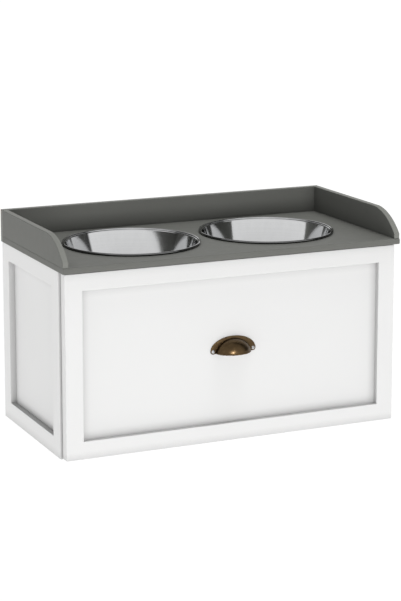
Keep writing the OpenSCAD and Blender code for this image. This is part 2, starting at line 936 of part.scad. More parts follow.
module cup_flange() {
  rotate([90, 0, 0]) linear_extrude(flange_t) difference() {
    union() {
      translate([0, ear_up]) polygon(oval(pull_w / 2, pull_h - ear_up, 0, 180, 2 * curve_steps));
      for (s = [-1, 1]) translate([s * ear_x, ear_up]) circle(ear_r);
    }
    polygon(oval(cup_w / 2 - cup_wall, cup_r - cup_wall, 0, 360, 2 * curve_steps));
    for (s = [-1, 1]) translate([s * ear_x, ear_up]) circle(screw_r + bolt_fit);
  }
}

module cup_pull() {
  color(bronze) placed() translate([0, panel_face, pull_z]) {
    cup_shell();
    cup_lip();
    cup_flange();
  }
}

module pull_screws() {
  color(steel) placed() difference() {
    at_pull_screws() pan_screw(short_screw);
    at_pull_screws() translate([0, 0, -pan_h]) cube([screw_head_r, recess_w, 2 * recess_w], center = true);
    at_pull_screws() translate([0, 0, -pan_h]) cube([recess_w, screw_head_r, 2 * recess_w], center = true);
  }
}

// Drawer box

module at_box_screws() {
  both_sides() for (y = [front_in + box_t / 2, box_back_y - box_t / 2], z = box_screw_zs)
    translate([box_x, y, z]) rotate([0, -90, 0]) children();
}

module base_groove() {
  half = box_x - box_t + groove_d;
  low = base_z - groove_fit;
  slab(
    [-half, front_in + box_t - groove_d, low],
    [half, box_back_y - box_t + groove_d, base_z + base_t + groove_fit]
  );
}

module drawer_base() {
  edge = box_x - box_t + groove_d - groove_fit;
  front = front_in + box_t - groove_d + groove_fit;
  back = box_back_y - box_t + groove_d - groove_fit;
  color(white_paint) placed() slab([-edge, front, base_z], [edge, back, base_z + base_t]);
}

module box_front() {
  color(white_paint) placed() difference() {
    slab([box_t - box_x, front_in, box_z], [box_x - box_t, front_in + box_t, box_z + box_h]);
    base_groove();
    at_box_screws() flush_hole(box_screw_len);
    at_front_screws() pan_hole(front_screw_len);
  }
}

module box_back() {
  color(white_paint) placed() difference() {
    slab([box_t - box_x, box_back_y - box_t, box_z], [box_x - box_t, box_back_y, box_z + box_h]);
    base_groove();
    at_box_screws() flush_hole(box_screw_len);
  }
}

module box_side_piece() {
  difference() {
    slab([box_x - box_t, front_in, box_z], [box_x, box_back_y, box_z + box_h]);
    base_groove();
    at_box_screws() flush_hole(box_screw_len);
    at_track_screws() pan_hole(track_screw_len);
  }
}

module box_right_side() {
  color(white_paint) placed() box_side_piece();
}

module box_left_side() {
  color(white_paint) placed() mirror([1, 0, 0]) box_side_piece();
}

module box_screws() {
  color(steel) placed() at_box_screws() flush_screw(box_screw_len);
}

module front_screws() {
  color(steel) placed() at_front_screws() pan_screw(front_screw_len);
}

// Bowls: a spun sheet with a rolled rim, straight flared wall and flat floor

module bowl_section() {
  floor_z = board_top - bowl_depth + bowl_wall;
  rim = [bowl_in_r, board_top + bowl_seat + bead_r];
  centre = [bowl_floor_r, floor_z + bowl_corner_r];
  away = rim - centre;
  flare = atan2(away.y, away.x) - acos(bowl_corner_r / norm(away));
  outer_r = bowl_corner_r + bowl_wall;
  turn = [for (i = [0 : curve_steps]) let (t = -90 + (flare + 90) * i / curve_steps) [cos(t), sin(t)]];
  bead_end = 180 + acos(1 - bowl_wall / bead_r);
  bead = [for (i = [0 : curve_steps]) let (t = 180 + (bead_end - 540) * i / curve_steps) [cos(t), sin(t)]];
  polygon(concat(
    [[0, floor_z]],
    [for (t = turn) centre + bowl_corner_r * t],
    [for (t = bead) rim + bead_r * (t + [1, 0])],
    reversed([for (t = turn) centre + outer_r * t]),
    [[0, floor_z - bowl_wall]]
  ));
}

module bowl(s) {
  translate([s * bowl_pitch / 2, 0, 0]) rotate_extrude($fn = bowl_steps) bowl_section();
}

module left_bowl() {
  color(steel) placed() bowl(-1);
}

module right_bowl() {
  color(steel) placed() bowl(1);
}

top_board();
back_rail();
left_rail();
right_rail();
rail_screws();
back_rail_screws();
left_side_panel();
left_front_stile();
left_back_stile();
left_top_strip();
left_foot_strip();
right_side_panel();
right_front_stile();
right_back_stile();
right_top_strip();
right_foot_strip();
cabinet_floor();
back_panel();
front_stretcher();
back_stretcher();
cam_locks();
cam_bolts();
dowels();
back_nails();
top_brackets();
bracket_screws();
bumpers();
left_channel();
right_channel();
channel_screws();
front_roller_pins();
front_left_roller();
front_right_roller();
drawer_panel();
drawer_left_stile();
drawer_right_stile();
drawer_top_strip();
drawer_foot_strip();
cup_pull();
pull_screws();
box_front();
box_left_side();
box_right_side();
box_back();
drawer_base();
box_screws();
front_screws();
left_track();
right_track();
track_screws();
rear_roller_pins();
rear_left_roller();
rear_right_roller();
left_bowl();
right_bowl();
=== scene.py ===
import json
import math

import bmesh
import bpy
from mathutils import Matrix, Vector


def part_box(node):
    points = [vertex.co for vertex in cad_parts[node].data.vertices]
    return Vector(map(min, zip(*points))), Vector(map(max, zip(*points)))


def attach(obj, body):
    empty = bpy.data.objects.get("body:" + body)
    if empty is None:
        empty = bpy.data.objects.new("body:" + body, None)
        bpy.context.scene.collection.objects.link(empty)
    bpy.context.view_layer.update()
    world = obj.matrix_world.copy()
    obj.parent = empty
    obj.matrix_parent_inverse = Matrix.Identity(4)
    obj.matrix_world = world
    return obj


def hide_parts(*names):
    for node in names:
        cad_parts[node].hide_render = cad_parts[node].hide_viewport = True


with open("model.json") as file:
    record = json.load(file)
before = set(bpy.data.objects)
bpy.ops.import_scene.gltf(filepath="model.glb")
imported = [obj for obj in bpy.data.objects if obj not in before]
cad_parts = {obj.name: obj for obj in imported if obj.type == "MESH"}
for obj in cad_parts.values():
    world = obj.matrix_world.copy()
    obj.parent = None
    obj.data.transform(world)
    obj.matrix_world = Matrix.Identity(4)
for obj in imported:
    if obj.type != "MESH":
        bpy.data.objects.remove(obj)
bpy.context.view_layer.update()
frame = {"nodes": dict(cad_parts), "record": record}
print("frame loaded:", len(frame["nodes"]), "nodes")


# Small measures that the helpers share, in metres unless a note says otherwise
slack = 0.00008        # an edge this near to a plane lies on it
weld = 0.000002        # points this near to each other become one
coarseWeld = 0.00001   # the same for CAD copies and spun shapes
flatTurn = 0.4         # degrees: faces that turn less than this are one flat face
facing = 0.9           # how much of a normal lies along the axis that its face looks to
sides = ("left", "right")


# Selecting and editing, as by hand
def pickOnly(piece):
    if bpy.context.object and bpy.context.object.mode != "OBJECT":
        bpy.ops.object.mode_set(mode="OBJECT")
    bpy.ops.object.select_all(action="DESELECT")
    piece.select_set(True)
    bpy.context.view_layer.objects.active = piece


def startEdit(piece, kind="FACE"):
    pickOnly(piece)
    bpy.ops.object.mode_set(mode="EDIT")
    bpy.ops.mesh.select_mode(type=kind)
    bpy.ops.mesh.select_all(action="DESELECT")


def endEdit():
    bpy.ops.object.mode_set(mode="OBJECT")


def selectFaces(piece, test):
    bpy.ops.mesh.select_mode(type="FACE")
    bpy.ops.mesh.select_all(action="DESELECT")
    shape = bmesh.from_edit_mesh(piece.data)
    for face in shape.faces:
        if test(face):
            face.select_set(True)
    bmesh.update_edit_mesh(piece.data)


def selectEdges(piece, test):
    bpy.ops.mesh.select_mode(type="EDGE")
    bpy.ops.mesh.select_all(action="DESELECT")
    shape = bmesh.from_edit_mesh(piece.data)
    for edge in shape.edges:
        if test(edge):
            edge.select_set(True)
    bmesh.update_edit_mesh(piece.data)


def bothAt(edge, axis, value):
    return all(abs(getattr(vert.co, axis) - value) < slack for vert in edge.verts)


def atAny(edge, axis, values):
    return any(bothAt(edge, axis, value) for value in values)


# True for the twelve outer edges of a box
def onOutline(edge, low, high):
    return sum(atAny(edge, axis, (getattr(low, axis), getattr(high, axis))) for axis in "xyz") == 2


def selectAll():
    bpy.ops.mesh.select_all(action="SELECT")


def extrudeBy(step):
    bpy.ops.mesh.extrude_region_move(TRANSFORM_OT_translate={"value": step})


def bevelPicked(width, steps, clamp=False):
    bpy.ops.mesh.bevel(offset=width, segments=steps, profile=0.5, affect="EDGES", clamp_overlap=clamp)


def boxOf(nodes):
    boxes = [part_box(node) for node in nodes]
    low = Vector([min(box[0][i] for box in boxes) for i in range(3)])
    high = Vector([max(box[1][i] for box in boxes) for i in range(3)])
    return low, high


def addBlock(name, low, high):
    low, high = Vector(low), Vector(high)
    bpy.ops.object.select_all(action="DESELECT")
    bpy.ops.mesh.primitive_cube_add(size=1, location=(low + high) / 2)
    piece = bpy.context.object
    piece.name = name
    piece.scale = high - low
    bpy.ops.object.transform_apply(location=True, rotation=True, scale=True)
    return piece


# A line of points, drawn by extruding one vertex from each to the next
def drawLine(name, points, closed=False):
    bpy.ops.object.select_all(action="DESELECT")
    bpy.ops.mesh.primitive_plane_add(size=0.001, location=points[0])   # merged below into one vertex
    piece = bpy.context.object
    piece.name = name
    bpy.ops.object.transform_apply(location=True, rotation=True, scale=True)
    startEdit(piece, "VERT")
    selectAll()
    bpy.ops.mesh.merge(type="CENTER")
    ends = list(points[1:]) + ([points[0]] if closed else [])
    here = Vector(points[0])
    for point in ends:
        extrudeBy(Vector(point) - here)
        here = Vector(point)
    if closed:
        selectAll()
        bpy.ops.mesh.remove_doubles(threshold=weld)
        bpy.ops.mesh.edge_face_add()
    return piece


def turnOutward():
    selectAll()
    bpy.ops.mesh.normals_make_consistent(inside=False)


def tidyNormals(gap=weld):
    selectAll()
    bpy.ops.mesh.remove_doubles(threshold=gap)
    turnOutward()
    endEdit()


# Edges that turn more than the angle, in degrees, stay crisp
def finishPiece(piece, material, body, replaced=(), angle=12):
    pickOnly(piece)
    bpy.ops.object.transform_apply(location=True, rotation=True, scale=True)
    bpy.ops.object.shade_smooth_by_angle(angle=math.radians(angle))
    piece.data.materials.clear()
    piece.data.materials.append(material)
    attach(piece, body)
    if replaced:
        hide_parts(*replaced)
    return piece


def easeEdges(piece, ease, steps, wanted):
    startEdit(piece)
    selectEdges(piece, wanted)
    bevelPicked(ease, steps, clamp=True)
    endEdit()


# Bevel corners can bulge a hair past the board, so they are pressed back to its box
def pressInside(piece, node):
    low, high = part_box(node)
    for vert in piece.data.vertices:
        vert.co = [min(max(vert.co[axis], low[axis]), high[axis]) for axis in range(3)]


# Copies a CAD board, welds it and eases the edges that the test picks
def easedCopy(node, ease, steps, wanted):
    mesh = frame["nodes"][node].data.copy()
    piece = bpy.data.objects.new("eased_" + node, mesh)
    bpy.context.scene.collection.objects.link(piece)
    startEdit(piece, "VERT")
    selectAll()
    bpy.ops.mesh.remove_doubles(threshold=coarseWeld)
    bpy.ops.mesh.dissolve_limited(angle_limit=math.radians(flatTurn))
    easeEdges(piece, ease, steps, wanted)
    pressInside(piece, node)
    return piece


# Node groups that several finishes share
def startGroup(name, inputs, outputs):
    group = bpy.data.node_groups.new(name, "ShaderNodeTree")
    for label, kind, value in inputs:
        socket = group.interface.new_socket(label, in_out="INPUT", socket_type=kind)
        socket.default_value = value
    for label, kind in outputs:
        group.interface.new_socket(label, in_out="OUTPUT", socket_type=kind)
    return group, group.nodes.new("NodeGroupInput"), group.nodes.new("NodeGroupOutput")


def addMath(tree, operation, first, second=None, third=None):
    node = tree.nodes.new("ShaderNodeMath")
    node.operation = operation
    for slot, value in enumerate((first, second, third)):
        if value is None:
            continue
        if isinstance(value, (int, float)):
            node.inputs[slot].default_value = value
        else:
            tree.links.new(value, node.inputs[slot])
    return node.outputs[0]


def addNoise(tree, vector, scale, detail=2.0, rough=0.5):
    node = tree.nodes.new("ShaderNodeTexNoise")
    node.inputs["Detail"].default_value = detail
    node.inputs["Roughness"].default_value = rough
    if isinstance(scale, (int, float)):
        node.inputs["Scale"].default_value = scale
    else:
        tree.links.new(scale, node.inputs["Scale"])
    tree.links.new(vector, node.inputs["Vector"])
    return node.outputs["Fac"]


# A value that swings round its base as the noise swings round its middle
def addSwing(tree, noise, swing, base):
    return addMath(tree, "MULTIPLY_ADD", addMath(tree, "SUBTRACT", noise, 0.5), swing, base)


# Painted shade: how open the surface is, 1 on open faces and less in corners and creases; it darkens the colour
# there
def addPaintedCornerShade(tree, reach, depth):
    corner = tree.nodes.new("ShaderNodeAmbientOcclusion")
    corner.samples = 12   # rays for each look into a corner
    tree.links.new(reach, corner.inputs["Distance"])
    shut = addMath(tree, "SUBTRACT", 1.0, corner.outputs["AO"])
    return addMath(tree, "SUBTRACT", 1.0, addMath(tree, "MULTIPLY", shut, depth))


# Sprayed finish: fine orange peel, a slow drift of tone and of sheen, painted shade that darkens corners, and a
# painted highlight on edges
sprayPattern = {"slow": (11.0, 3.0), "middle": (60.0, 2.0), "fine": (2400.0, 1.0),   # size and detail of each noise
                "peelDetail": 2.0, "fineShare": 0.25}


def makeSprayGroup():
    group, source, sink = startGroup("sprayedFinish", [
        ("Colour", "NodeSocketColor", (0.8, 0.8, 0.8, 1)),
        ("Tone Drift", "NodeSocketFloat", 0.03),
        ("Sheen", "NodeSocketFloat", 0.4),
        ("Sheen Drift", "NodeSocketFloat", 0.1),
        ("Peel Size", "NodeSocketFloat", 420.0),
        ("Corner Reach", "NodeSocketFloat", 0.015),
        ("Corner Depth", "NodeSocketFloat", 0.3),
        ("Face Axis", "NodeSocketVector", (0, 0, 1)),
        ("Painted Edge Highlight", "NodeSocketFloat", 0.0),
    ], [("Colour", "NodeSocketColor"), ("Roughness", "NodeSocketFloat"), ("Height", "NodeSocketFloat")])
    texture = group.nodes.new("ShaderNodeTexCoord")
    place = texture.outputs["Object"]
    slow = addNoise(group, place, *sprayPattern["slow"])
    middle = addNoise(group, place, *sprayPattern["middle"])
    peel = addNoise(group, place, source.outputs["Peel Size"], sprayPattern["peelDetail"])
    fine = addNoise(group, place, *sprayPattern["fine"])
    drift = addSwing(group, slow, source.outputs["Tone Drift"], 1.0)
    tint = group.nodes.new("ShaderNodeHueSaturation")
    group.links.new(source.outputs["Colour"], tint.inputs["Color"])
    # Painted shade in corners and recesses
    paintedCornerShade = addPaintedCornerShade(group, source.outputs["Corner Reach"], source.outputs["Corner Depth"])
    # Painted highlight: faces that do not look along the face axis, such as the rail tops and nose, are painted a
    # shade lighter than the board's faces, as where light catches them
    along = group.nodes.new("ShaderNodeVectorMath")
    along.operation = "DOT_PRODUCT"
    group.links.new(texture.outputs["Normal"], along.inputs[0])
    group.links.new(source.outputs["Face Axis"], along.inputs[1])
    onEdge = addMath(group, "SUBTRACT", 1.0, addMath(group, "ABSOLUTE", along.outputs["Value"]))
    edgeHighlight = addMath(group, "MULTIPLY_ADD", onEdge, source.outputs["Painted Edge Highlight"], 1.0)
    shade = addMath(group, "MULTIPLY", drift, paintedCornerShade)
    group.links.new(addMath(group, "MULTIPLY", shade, edgeHighlight), tint.inputs["Value"])
    group.links.new(tint.outputs["Color"], sink.inputs["Colour"])
    rough = addSwing(group, middle, source.outputs["Sheen Drift"], source.outputs["Sheen"])
    group.links.new(rough, sink.inputs["Roughness"])
    height = addMath(group, "MULTIPLY_ADD", fine, sprayPattern["fineShare"], peel)
    group.links.new(height, sink.inputs["Height"])
    return group


# Spun sheet: rings round the Z axis of the vector that comes in, crossed by faint streaks
spunPattern = {"ringTurn": 0.0006, "ringNoise": (3.0, 0.6), "streakTurn": 0.9, "streakRise": 3.0,
               "streakNoise": (9.0, 2.0), "toneSpan": 0.10, "darkest": 0.9, "rimBlend": 1200.0}


def makeSpunGroup():
    group, source, sink = startGroup("spunRings", [
        ("Vector", "NodeSocketVector", (0, 0, 0)),
        ("Ring Size", "NodeSocketFloat", 900.0),
        ("Sheen", "NodeSocketFloat", 0.18),
        ("Sheen Drift", "NodeSocketFloat", 0.12),
        ("Corner Reach", "NodeSocketFloat", 0.006),
        ("Corner Depth", "NodeSocketFloat", 0.9),
        ("Rim Start", "NodeSocketFloat", 0.113),
        ("Rim Painted Darkness", "NodeSocketFloat", 0.6),
    ], [("Tone", "NodeSocketFloat"), ("Roughness", "NodeSocketFloat"), ("Height", "NodeSocketFloat")])
    split = group.nodes.new("ShaderNodeSeparateXYZ")
    group.links.new(source.outputs["Vector"], split.inputs[0])
    x, y, z = split.outputs
    squares = addMath(group, "ADD", addMath(group, "MULTIPLY", x, x), addMath(group, "MULTIPLY", y, y))
    far = addMath(group, "SQRT", squares)
    turn = addMath(group, "ARCTAN2", y, x)
    ring = group.nodes.new("ShaderNodeCombineXYZ")
    group.links.new(far, ring.inputs[0])
    group.links.new(z, ring.inputs[1])
    group.links.new(addMath(group, "MULTIPLY", turn, spunPattern["ringTurn"]), ring.inputs[2])
    rings = addNoise(group, ring.outputs[0], source.outputs["Ring Size"], *spunPattern["ringNoise"])
    streak = group.nodes.new("ShaderNodeCombineXYZ")
    group.links.new(addMath(group, "MULTIPLY", turn, spunPattern["streakTurn"]), streak.inputs[0])
    group.links.new(addMath(group, "MULTIPLY", z, spunPattern["streakRise"]), streak.inputs[1])
    streaks = addNoise(group, streak.outputs[0], *spunPattern["streakNoise"])
    marks = addMath(group, "ADD", rings, streaks)
    tone = addMath(group, "MULTIPLY_ADD", marks, spunPattern["toneSpan"], spunPattern["darkest"])
    rough = addSwing(group, addMath(group, "MULTIPLY", marks, 0.5), source.outputs["Sheen Drift"],
                     source.outputs["Sheen"])
    # Painted shade darkens the steel where the board is near, as a contact shadow round the rim
    paintedCornerShade = addPaintedCornerShade(group, source.outputs["Corner Reach"], source.outputs["Corner Depth"])
    # Painted reflection: the outer half of the rolled rim is darkened, standing for the dark board that it reflects
    past = addMath(group, "SUBTRACT", far, source.outputs["Rim Start"])
    onRim = group.nodes.new("ShaderNodeClamp")
    group.links.new(addMath(group, "MULTIPLY", past, spunPattern["rimBlend"]), onRim.inputs["Value"])
    rimPaintedDarkness = addMath(group, "MULTIPLY", onRim.outputs[0], source.outputs["Rim Painted Darkness"])
    bright = addMath(group, "MULTIPLY", tone, paintedCornerShade)
    kept = addMath(group, "SUBTRACT", 1.0, rimPaintedDarkness)
    group.links.new(addMath(group, "MULTIPLY", bright, kept), sink.inputs["Tone"])
    group.links.new(rough, sink.inputs["Roughness"])
    group.links.new(rings, sink.inputs["Height"])
    return group


# Plated or cast metal: cloudy tone and light marks, and a paler colour where edges are rubbed
platePattern = {"cloudNoise": (4.0, 0.6), "fine": (1900.0, 2.0), "edgeStart": 0.51, "edgeGain": 9.0,
                "cloudStart": 0.48, "cloudGain": 1.4, "fineShare": 0.4}


def makePlateGroup():
    group, source, sink = startGroup("platedMetal", [
        ("Base", "NodeSocketColor", (0.6, 0.6, 0.6, 1)),
        ("Rubbed", "NodeSocketColor", (0.7, 0.7, 0.7, 1)),
        ("Rub Amount", "NodeSocketFloat", 0.3),
        ("Sheen", "NodeSocketFloat", 0.3),
        ("Sheen Drift", "NodeSocketFloat", 0.2),
        ("Cloud Size", "NodeSocketFloat", 160.0),
        ("Corner Reach", "NodeSocketFloat", 0.006),
        ("Corner Depth", "NodeSocketFloat", 0.9),
    ], [("Colour", "NodeSocketColor"), ("Roughness", "NodeSocketFloat"), ("Height", "NodeSocketFloat")])
    place = group.nodes.new("ShaderNodeTexCoord").outputs["Object"]
    cloud = addNoise(group, place, source.outputs["Cloud Size"], *platePattern["cloudNoise"])
    fine = addNoise(group, place, *platePattern["fine"])
    point = group.nodes.new("ShaderNodeNewGeometry").outputs["Pointiness"]
    sharp = addMath(group, "SUBTRACT", point, platePattern["edgeStart"])
    edge = addMath(group, "MULTIPLY", sharp, platePattern["edgeGain"])
    patch = addMath(group, "SUBTRACT", cloud, platePattern["cloudStart"])
    patch = addMath(group, "MULTIPLY", patch, platePattern["cloudGain"])
    worn = addMath(group, "MULTIPLY", addMath(group, "ADD", edge, patch), source.outputs["Rub Amount"])
    limit = group.nodes.new("ShaderNodeClamp")
    group.links.new(worn, limit.inputs[0])
    blend = group.nodes.new("ShaderNodeMix")
    blend.data_type = "RGBA"
    group.links.new(limit.outputs[0], blend.inputs["Factor"])
    group.links.new(source.outputs["Base"], blend.inputs[6])   # 6 and 7 are a Mix node's two colours
    group.links.new(source.outputs["Rubbed"], blend.inputs[7])
    tint = group.nodes.new("ShaderNodeHueSaturation")
    group.links.new(blend.outputs[2], tint.inputs["Color"])
    # Painted shade darkens crevices, such as the groove between cup and flange; on the aged bronze it also stands
    # for patina in its hollows
    paintedCornerShade = addPaintedCornerShade(group, source.outputs["Corner Reach"], source.outputs["Corner Depth"])
    group.links.new(paintedCornerShade, tint.inputs["Value"])
    group.links.new(tint.outputs["Color"], sink.inputs["Colour"])
    rough = addSwing(group, cloud, source.outputs["Sheen Drift"], source.outputs["Sheen"])
    group.links.new(rough, sink.inputs["Roughness"])
    group.links.new(addMath(group, "MULTIPLY_ADD", fine, platePattern["fineShare"], cloud), sink.inputs["Height"])
    return group


sprayGroup, spunGroup, plateGroup = makeSprayGroup(), makeSpunGroup(), makePlateGroup()


def startFinish(name, group, values, bumpDepth, bumpStrength=0.5):
    material = bpy.data.materials.new(name)
    material.use_nodes = True
    tree = material.node_tree
    shader = tree.nodes["Principled BSDF"]
    effect = tree.nodes.new("ShaderNodeGroup")
    effect.node_tree = group
    for label, value in values.items():
        effect.inputs[label].default_value = value
    tree.links.new(effect.outputs["Roughness"], shader.inputs["Roughness"])
    bump = tree.nodes.new("ShaderNodeBump")
    bump.inputs["Strength"].default_value = bumpStrength
    bump.inputs["Distance"].default_value = bumpDepth
    tree.links.new(effect.outputs["Height"], bump.inputs["Height"])
    tree.links.new(bump.outputs["Normal"], shader.inputs["Normal"])
    return material, tree, shader, effect


# Light that has already bounced sees a darker paint, so corners and recesses stay deep
def linkBounce(tree, colour, shader, bounceTone):
    path = tree.nodes.new("ShaderNodeLightPath")
    dim = tree.nodes.new("ShaderNodeMix")
    dim.data_type = "RGBA"
    dim.blend_type = "MULTIPLY"
    dim.inputs[7].default_value = (*[bounceTone] * 3, 1)
    tree.links.new(path.outputs["Is Diffuse Ray"], dim.inputs["Factor"])
    tree.links.new(colour, dim.inputs[6])
    tree.links.new(dim.outputs[2], shader.inputs["Base Color"])


# corner and reach set the depth and reach of the painted corner shade, and the last argument the painted edge
# highlight
def sprayedPaint(name, colour, sheen, drift=0.03, peel=420.0, depth=0.00003, gloss=0.5, bounce=0.47,
                 corner=0.3, reach=0.015, faceAxis=(0, 0, 1), edgeHighlight=0.0):
    material, tree, shader, effect = startFinish(name, sprayGroup, {
        "Colour": (*colour, 1), "Tone Drift": drift, "Sheen": sheen, "Sheen Drift": 0.12, "Peel Size": peel,
        "Corner Reach": reach, "Corner Depth": corner, "Face Axis": faceAxis, "Painted Edge Highlight": edgeHighlight,
    }, depth)
    linkBounce(tree, effect.outputs["Colour"], shader, bounce)
    shader.inputs["Specular IOR Level"].default_value = gloss
    return material


def platedMetal(name, base, rubbed, rub, sheen, depth=0.00002, cloud=160.0, lacquer=0.0):
    material, tree, shader, effect = startFinish(name, plateGroup, {
        "Base": (*base, 1), "Rubbed": (*rubbed, 1), "Rub Amount": rub, "Sheen": sheen, "Sheen Drift": 0.25,
        "Cloud Size": cloud,
    }, depth)
    tree.links.new(effect.outputs["Colour"], shader.inputs["Base Color"])
    shader.inputs["Metallic"].default_value = 1.0
    shader.inputs["Coat Weight"].default_value = lacquer
    shader.inputs["Coat Roughness"].default_value = 0.17
    return material


def spunSteel(name, centre):
    # Corner reach sets how far the painted contact shade reaches; rim start is where the painted dark rim begins
    material, tree, shader, effect = startFinish(name, spunGroup, {
        "Ring Size": 700.0, "Sheen": 0.08, "Sheen Drift": 0.07, "Corner Reach": 0.012, "Rim Start": 0.1126,
    }, bumpDepth=0.00001, bumpStrength=0.35)
    place = tree.nodes.new("ShaderNodeTexCoord")
    move = tree.nodes.new("ShaderNodeMapping")
    move.inputs["Location"].default_value = (-centre[0], -centre[1], 0)
    tree.links.new(place.outputs["Object"], move.inputs["Vector"])
    tree.links.new(move.outputs["Vector"], effect.inputs["Vector"])
    tone = tree.nodes.new("ShaderNodeHueSaturation")
    tone.inputs["Color"].default_value = (0.66, 0.665, 0.67, 1)
    tree.links.new(effect.outputs["Tone"], tone.inputs["Value"])
    tree.links.new(tone.outputs["Color"], shader.inputs["Base Color"])
    shader.inputs["Metallic"].default_value = 1.0
    return material


# The faces look along the axis, and the edges get a painted highlight of this share of their tone; the grey's
# corners take a deep painted shade
def greyPaint(name, faceAxis, edgeHighlight):
    return sprayedPaint(name, (0.166, 0.169, 0.156), sheen=0.56, drift=0.05, gloss=0.25, corner=0.45, reach=0.03,
                        faceAxis=faceAxis, edgeHighlight=edgeHighlight)


finishes = {
    "grey_paint": greyPaint("greyLacquer", (0, 0, 1), 0.0),
    "white_paint": sprayedPaint("whiteLacquer", (0.87, 0.87, 0.865), sheen=0.42, drift=0.02, corner=0.42),
    # The inner boards' copy of the white is dimmed much less for bounced light, so the open drawer's inside is lit
    # brighter
    "inner_white": sprayedPaint("whiteMelamine", (0.84, 0.84, 0.83), sheen=0.5, peel=900.0, depth=0.00002,
                                bounce=0.95),
    "bare_wood": sprayedPaint("beechDowel", (0.62, 0.46, 0.29), sheen=0.6, drift=0.35, peel=300.0, depth=0.00008),
    "zinc_steel": platedMetal("zincPlate", (0.7, 0.71, 0.72), (0.85, 0.85, 0.85), rub=0.3, sheen=0.24),
    "runner_steel": sprayedPaint("powderCoat", (0.8, 0.8, 0.79), sheen=0.45, peel=900.0, depth=0.00005),
    "aged_bronze": platedMetal("agedBronze", (0.088, 0.056, 0.026), (0.38, 0.26, 0.125), rub=0.42, sheen=0.3,
                               depth=0.000006, cloud=90.0, lacquer=0.12),
    "nylon": sprayedPaint("nylon", (0.83, 0.83, 0.8), sheen=0.38, peel=700.0, depth=0.00002),
    "clear_rubber": sprayedPaint("rubber", (0.6, 0.6, 0.58), sheen=0.3, drift=0.04, peel=500.0, depth=0.00002),
}
bowlMiddles, bowlFinishes = {}, {}
for side in sides:
    low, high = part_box(side + "_bowl")
    bowlMiddles[side] = (low + high) / 2
    bowlFinishes[side] = spunSteel(side + "BowlSteel", bowlMiddles[side])
for entry in frame["record"]["subparts"]:
    node = frame["nodes"][entry["node"]]
    side = entry["node"].split("_")[0]
    material = finishes.get(entry["material_slot"]) or bowlFinishes[side]
    for slot in node.material_slots:
        slot.material = material
print("finishes ready:", len(finishes) + len(bowlFinishes))

white = finishes["white_paint"]

# Top board: a soft arris round both ends
boardSizes = {"ease": 0.0007, "steps": 2}
low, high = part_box("top_board")
board = easedCopy("top_board", boardSizes["ease"], boardSizes["steps"],
                  lambda edge: atAny(edge, "x", (low.x, high.x)))
finishPiece(board, finishes["grey_paint"], "cabinet", ["top_board"])

# Rails: rounded along both faces, with a fine groove where they meet the board and the back rail
# The last size is the painted highlight on the rail tops and nose
railSizes = {"ease": 0.0009, "steps": 3, "jointEase": 0.001, "jointSteps": 2, "railEdgeHighlight": 0.45}
sideRailGrey = greyPaint("greySideRail", (1, 0, 0), railSizes["railEdgeHighlight"])
backRailGrey = greyPaint("greyBackRail", (0, 1, 0), railSizes["railEdgeHighlight"])
for node in ("left_rail", "right_rail"):
    low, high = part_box(node)
    rail = easedCopy(node, railSizes["ease"], railSizes["steps"], lambda edge: (
        atAny(edge, "x", (low.x, high.x)) and not bothAt(edge, "z", low.z) and not bothAt(edge, "y", high.y)))
    easeEdges(rail, railSizes["jointEase"], railSizes["jointSteps"], lambda edge: (
        atAny(edge, "x", (low.x, high.x)) and (bothAt(edge, "z", low.z) or bothAt(edge, "y", high.y))
        or bothAt(edge, "y", low.y) and bothAt(edge, "z", low.z)))
    finishPiece(rail, sideRailGrey, "cabinet", [node])
low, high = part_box("back_rail")
rail = easedCopy("back_rail", railSizes["ease"], railSizes["steps"], lambda edge: (
    bothAt(edge, "z", high.z) or atAny(edge, "x", (low.x, high.x)) and not bothAt(edge, "y", low.y)))
finishPiece(rail, backRailGrey, "cabinet", ["back_rail"])
print("top board and rails done")

# Drawer front: one painted board whose frame stands out of its face
frontSizes = {"ease": 0.0008, "steps": 3}
frontNodes = ["drawer_" + part for part in ("panel", "left_stile", "right_stile", "top_strip", "foot_strip")]


# Insets the picked faces by a stile's width, then shifts the new edges to where the strips end
def insetFrame(piece, picked, width, low, high, head, foot):
    selectFaces(piece, picked)
    bpy.ops.mesh.inset(thickness=width, depth=0, use_even_offset=True)
    for edgeZ, stripZ in ((high.z - width, head), (low.z + width, foot)):
        selectEdges(piece, lambda edge: bothAt(edge, "z", edgeZ))
        bpy.ops.transform.translate(value=(0, 0, stripZ - edgeZ))


def makeDrawerFront():
    low, high = boxOf(frontNodes)
    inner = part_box("drawer_left_stile")[1].x
    head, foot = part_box("drawer_top_strip")[0].z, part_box("drawer_foot_strip")[1].z
    width = inner - low.x
    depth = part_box("drawer_panel")[0].y - low.y
    piece = addBlock("drawerFront", low, high)
    startEdit(piece)
    insetFrame(piece, lambda face: face.normal.y < -facing, width, low, high, head, foot)
    selectFaces(piece, lambda face: face.normal.y < -facing and all(
        abs(vert.co.x) < high.x - width / 2 for vert in face.verts))
    extrudeBy((0, depth, 0))
    selectEdges(piece, lambda edge: onOutline(edge, low, high) or bothAt(edge, "y", low.y) and (
        atAny(edge, "x", (inner, -inner)) or atAny(edge, "z", (head, foot))))
    bevelPicked(frontSizes["ease"], frontSizes["steps"])
    tidyNormals()
    return finishPiece(piece, white, "drawer", frontNodes)


makeDrawerFront()
print("drawer front done")

# Side frames: a ring that is inset on both faces and bridged through
sideSizes = {"ease": 0.0009, "steps": 3}


